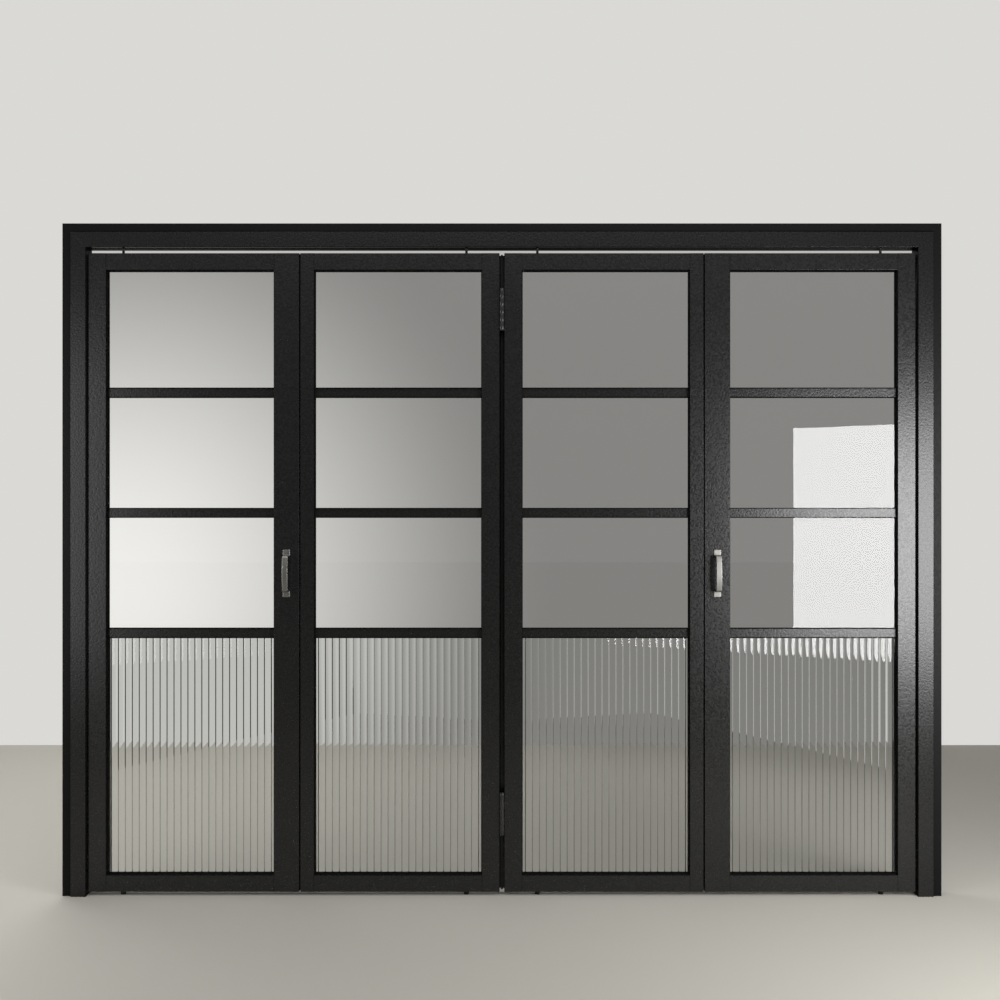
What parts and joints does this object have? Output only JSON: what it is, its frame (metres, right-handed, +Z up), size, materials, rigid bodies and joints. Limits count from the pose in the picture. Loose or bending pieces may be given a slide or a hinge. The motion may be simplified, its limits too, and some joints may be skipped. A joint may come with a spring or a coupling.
{
  "type": "folding door",
  "caption": "Glazed folding door of hinged leaves in a black powder-coated lining, with clear panes above a reeded pane, bow handles, a head track and floor pivots.",
  "frame": {"origin": "on the left wall face of the lining, at floor level and at mid-depth", "axes": "+X along the width to the right, +Y from the front, which has the handles, to the back, +Z up"},
  "size_m": [2.725, 0.088, 2.085],
  "materials": {
    "lining_black": "satin black powder coat",
    "leaf_black": "satin black powder coat",
    "bar_black": "satin black powder coat",
    "clear_glass": "clear float glass",
    "reeded_glass": "clear glass with vertical reeds",
    "hinge_dark": "dark grey satin",
    "handle_grey": "satin grey",
    "track_aluminium": "black anodised",
    "pivot_steel": "dark plated steel",
    "cover_black": "matt black"
  },
  "bodies": {
    "root": {"left_wall_profile": "lining_black", "right_wall_profile": "lining_black", "head_wall_profile": "lining_black", "left_jamb": "lining_black", "right_jamb": "lining_black", "head": "lining_black", "top_track": "track_aluminium", "leaf_1_jamb_stile": "leaf_black", "leaf_1_fold_stile": "leaf_black", "leaf_1_top_rail": "leaf_black", "leaf_1_bottom_rail": "leaf_black", "leaf_1_glazing_bars": "bar_black", "leaf_1_clear_panes": "clear_glass", "leaf_1_reeded_pane": "reeded_glass", "leaf_2_fold_stile": "leaf_black", "leaf_2_centre_stile": "leaf_black", "leaf_2_top_rail": "leaf_black", "leaf_2_bottom_rail": "leaf_black", "leaf_2_glazing_bars": "bar_black", "leaf_2_clear_panes": "clear_glass", "leaf_2_reeded_pane": "reeded_glass", "leaf_3_centre_stile": "leaf_black", "leaf_3_fold_stile": "leaf_black", "leaf_3_top_rail": "leaf_black", "leaf_3_bottom_rail": "leaf_black", "leaf_3_glazing_bars": "bar_black", "leaf_3_clear_panes": "clear_glass", "leaf_3_reeded_pane": "reeded_glass", "leaf_4_fold_stile": "leaf_black", "leaf_4_jamb_stile": "leaf_black", "leaf_4_top_rail": "leaf_black", "leaf_4_bottom_rail": "leaf_black", "leaf_4_glazing_bars": "bar_black", "leaf_4_clear_panes": "clear_glass", "leaf_4_reeded_pane": "reeded_glass", "left_fold_hinges": "hinge_dark", "centre_hinges": "hinge_dark", "right_fold_hinges": "hinge_dark", "centre_cover_strip": "cover_black", "top_pivots": "pivot_steel", "bottom_pivots": "pivot_steel", "floor_cups": "pivot_steel", "left_handle": "handle_grey", "right_handle": "handle_grey"}
  },
  "joints": []
}
